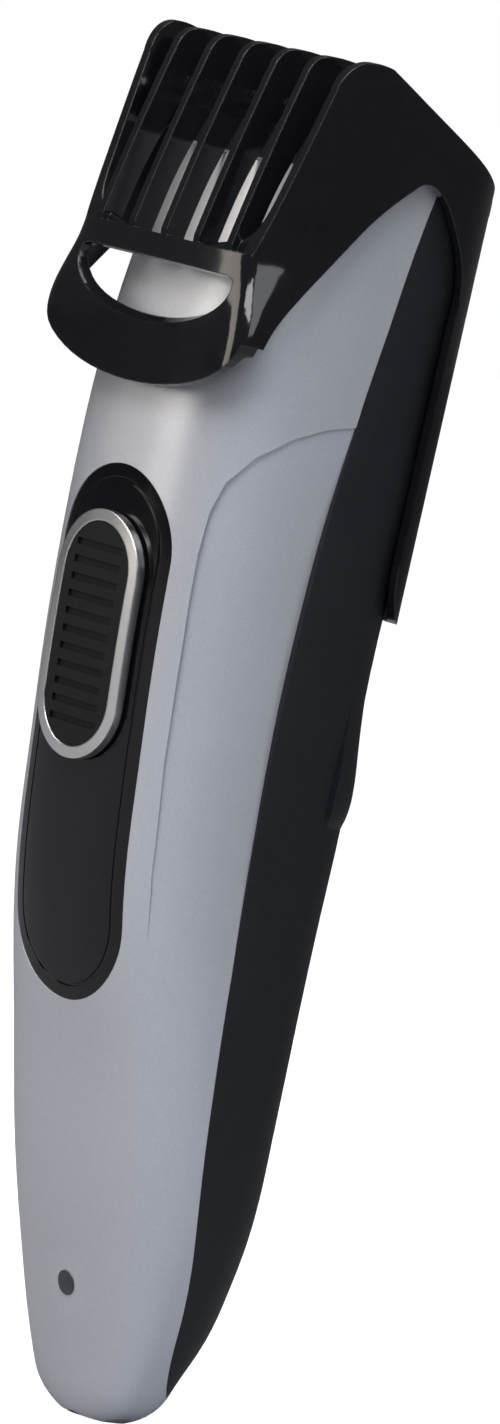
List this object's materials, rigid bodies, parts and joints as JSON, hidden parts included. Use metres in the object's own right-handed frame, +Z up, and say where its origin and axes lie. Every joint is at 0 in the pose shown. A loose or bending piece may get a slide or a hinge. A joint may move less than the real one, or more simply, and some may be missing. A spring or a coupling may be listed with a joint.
{
  "type": "hair clipper",
  "caption": "Cordless hair clipper: slim curved two-tone body, thumb slide switch, charging socket and a toothed guide comb that slides over the blade head.",
  "frame": {"origin": "mouth of the charging socket, in the middle of the small flat foot", "axes": "+Z up the clipper, parallel to its flat back; -Y is the front with the switch; +X to the right seen from the front"},
  "size_m": [0.0414, 0.0411, 0.1749],
  "materials": {
    "silver_shell": "satin metallic silver paint on moulded plastic",
    "rear_black": "matte blue-black moulded plastic",
    "gloss_black": "gloss black inlay",
    "comb_black": "gloss black moulded plastic",
    "ring_silver": "satin bright silver plating on plastic",
    "pad_black": "matte black ribbed grip",
    "light_lens": "smoked clear lens",
    "blade_steel": "ground stainless steel",
    "screw_steel": "zinc-plated steel",
    "motor_steel": "drawn steel can",
    "motor_black": "black moulded end cap",
    "shaft_steel": "ground steel",
    "drive_white": "white low-friction plastic",
    "chassis_grey": "grey moulded plastic",
    "head_black": "black moulded plastic",
    "pad_rubber": "soft rubber",
    "board_green": "green circuit laminate",
    "chip_black": "moulded component bodies",
    "cell_wrap": "wrapped rechargeable cell",
    "contact_nickel": "nickel-plated spring strip",
    "socket_black": "black moulded socket",
    "led_clear": "red diffused lamp",
    "lead_red": "insulated wire"
  },
  "bodies": {
    "housing": {"front_shell": "silver_shell", "rear_shell": "rear_black", "shell_screws": "screw_steel", "switch_panel": "gloss_black", "slide_switch": "chip_black", "switch_board": "board_green", "charge_light": "light_lens", "charging_socket": "socket_black", "socket_contacts": "contact_nickel", "circuit_board": "board_green", "board_chips": "chip_black", "indicator_led": "led_clear", "battery_cell": "cell_wrap", "battery_contacts": "contact_nickel", "chassis": "chassis_grey", "motor_can": "motor_steel", "motor_end_cap": "motor_black", "motor_pad": "pad_rubber", "motor_leads": "lead_red", "motor_screws": "screw_steel", "head_frame": "head_black", "fixed_blade": "blade_steel", "blade_screws": "screw_steel"},
    "power_slider": {"slider_frame": "ring_silver", "slider_pad": "pad_black", "switch_lever": "drive_white"},
    "motor_rotor": {"motor_shaft": "shaft_steel", "eccentric": "drive_white"},
    "cutter": {"moving_blade": "blade_steel", "cutter_yoke": "drive_white"},
    "comb": {"guide_comb": "comb_black"}
  },
  "joints": [
    {"name": "comb_slide", "type": "slide", "parent": "housing", "child": "comb", "axis": [0, 0, 1], "range_m": [0, 0.07]},
    {"name": "power_switch", "type": "slide", "parent": "housing", "child": "power_slider", "axis": [0, -0.0689, 0.9976], "range_m": [0, 0.004]},
    {"name": "motor_spin", "type": "hinge", "parent": "housing", "child": "motor_rotor", "pos_m": [0, -0.0075, 0.13], "axis": [0, 0, 1], "continuous": true},
    {"name": "cutter_slide", "type": "slide", "parent": "housing", "child": "cutter", "axis": [1, 0, 0], "range_m": [-0.0012, 0.0012]}
  ]
}
